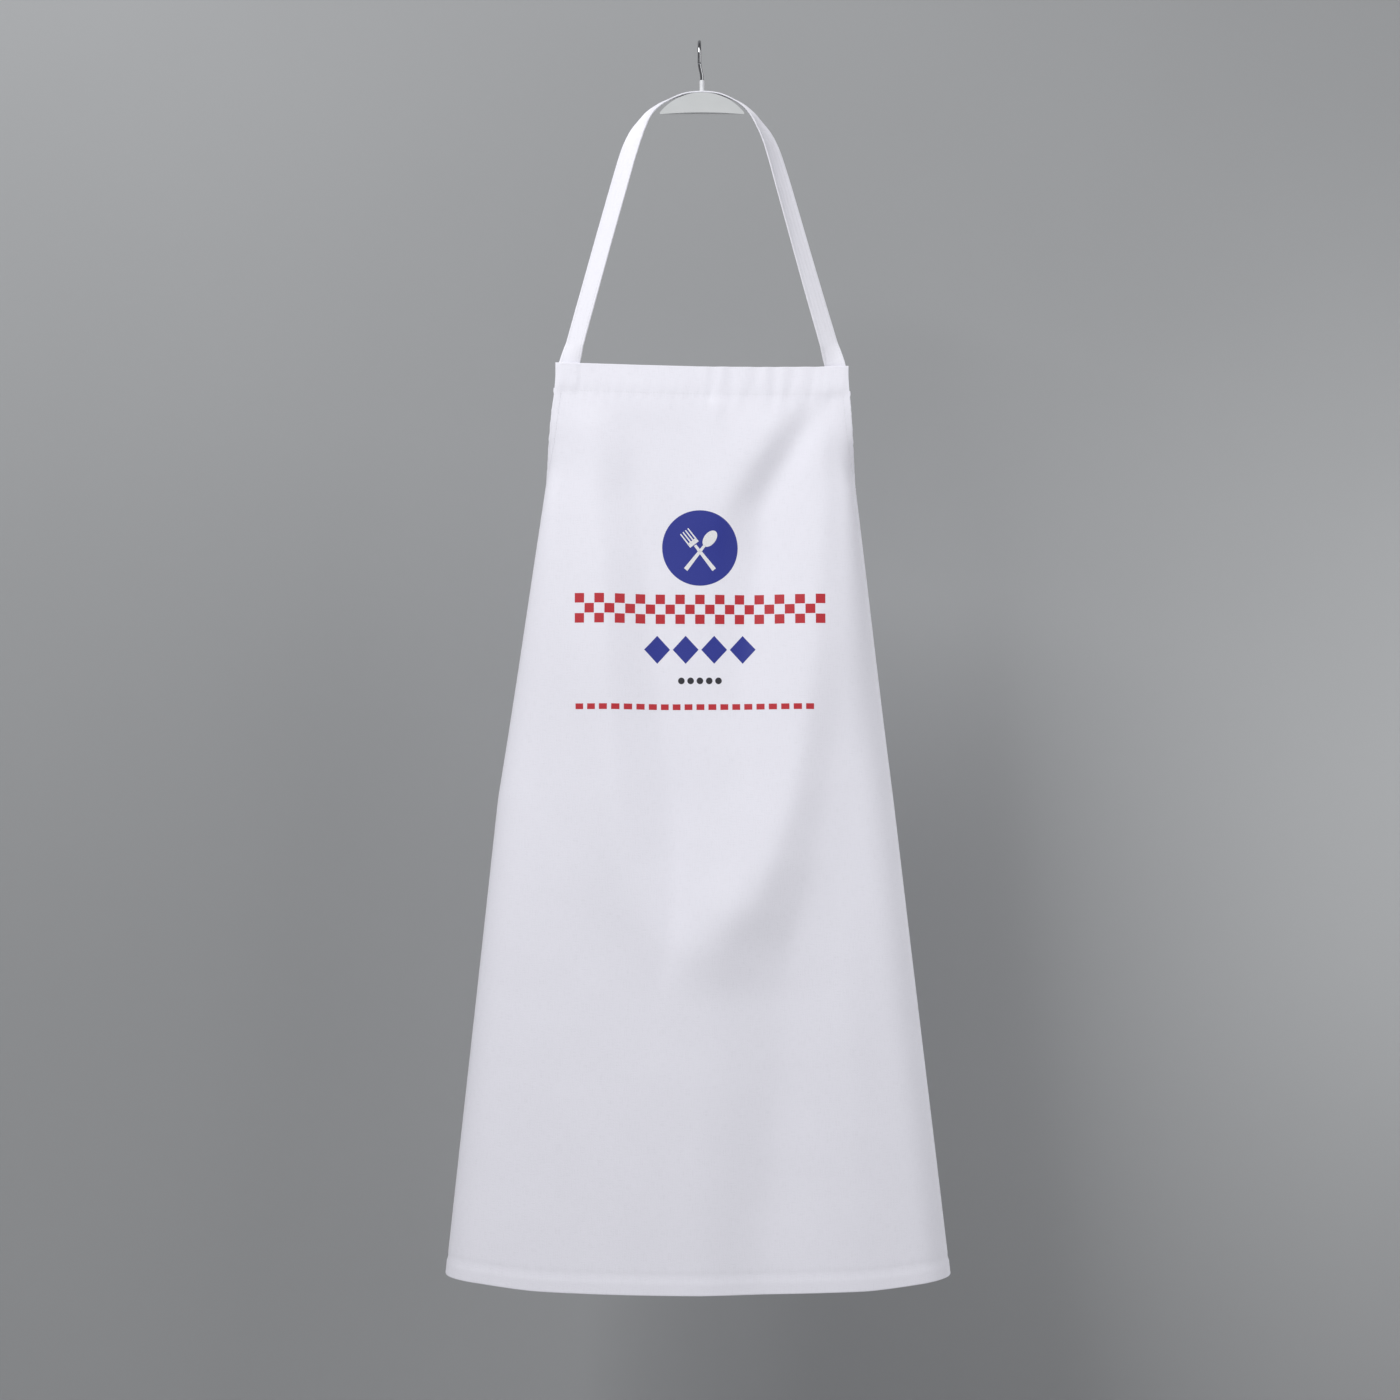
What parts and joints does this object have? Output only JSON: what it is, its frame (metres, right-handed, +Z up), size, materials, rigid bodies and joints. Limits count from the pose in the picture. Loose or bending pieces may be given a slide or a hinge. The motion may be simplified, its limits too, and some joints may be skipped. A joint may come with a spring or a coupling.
{
  "type": "apron on a hook",
  "caption": "White bib apron with a neck strap and waist ties, hung by its strap on a small moulded hanger with a swivel wire hook.",
  "frame": {"origin": "the hook's seat: the inside top of its bow, where it rests on a rail", "axes": "+Z up, the apron's front faces -Y, +X to the viewer's right"},
  "size_m": [0.489, 0.1729, 1.203],
  "materials": {
    "cloth": "matte",
    "hem": "matte",
    "tape": "matte",
    "thread": "satin",
    "print": "satin",
    "wire": "polished",
    "sleeve": "satin",
    "moulding": "satin",
    "washer": "satin"
  },
  "bodies": {
    "hook": {"hook": "wire", "hook_sleeve": "sleeve"},
    "hanger": {"hanger_body": "moulding", "retaining_washer": "washer"},
    "strap": {"neck_strap": "tape"},
    "apron": {"apron_panel": "cloth", "top_hem": "hem", "bottom_hem": "hem", "left_armhole_hem": "hem", "right_armhole_hem": "hem", "left_side_hem": "hem", "right_side_hem": "hem", "left_strap_end": "tape", "right_strap_end": "tape", "left_strap_bartacks": "thread", "right_strap_bartacks": "thread", "left_tie_end": "tape", "right_tie_end": "tape", "chest_print": "print"},
    "left_tie": {"left_waist_tie": "tape"},
    "right_tie": {"right_waist_tie": "tape"}
  },
  "joints": [
    {"name": "hook_swivel", "type": "hinge", "parent": "hook", "child": "hanger", "pos_m": [0.0025, 0.014, -0.0525], "axis": [0, 0, 1], "continuous": true},
    {"name": "apron_lift_off", "type": "slide", "parent": "hanger", "child": "strap", "axis": [0, -0.866, 0.5], "range_m": [0, 0.1]},
    {"name": "apron_swing", "type": "hinge", "parent": "strap", "child": "apron", "pos_m": [0.0025, 0.0025, -0.3105], "axis": [1, 0, 0], "range_deg": [-20, 12]},
    {"name": "left_tie_swing", "type": "hinge", "parent": "apron", "child": "left_tie", "pos_m": [-0.1012, 0.09902, -0.6096], "axis": [1, 0, 0], "range_deg": [-4, 45]},
    {"name": "right_tie_swing", "type": "hinge", "parent": "apron", "child": "right_tie", "pos_m": [0.0894, 0.09561, -0.6096], "axis": [1, 0, 0], "range_deg": [-4, 45]}
  ]
}
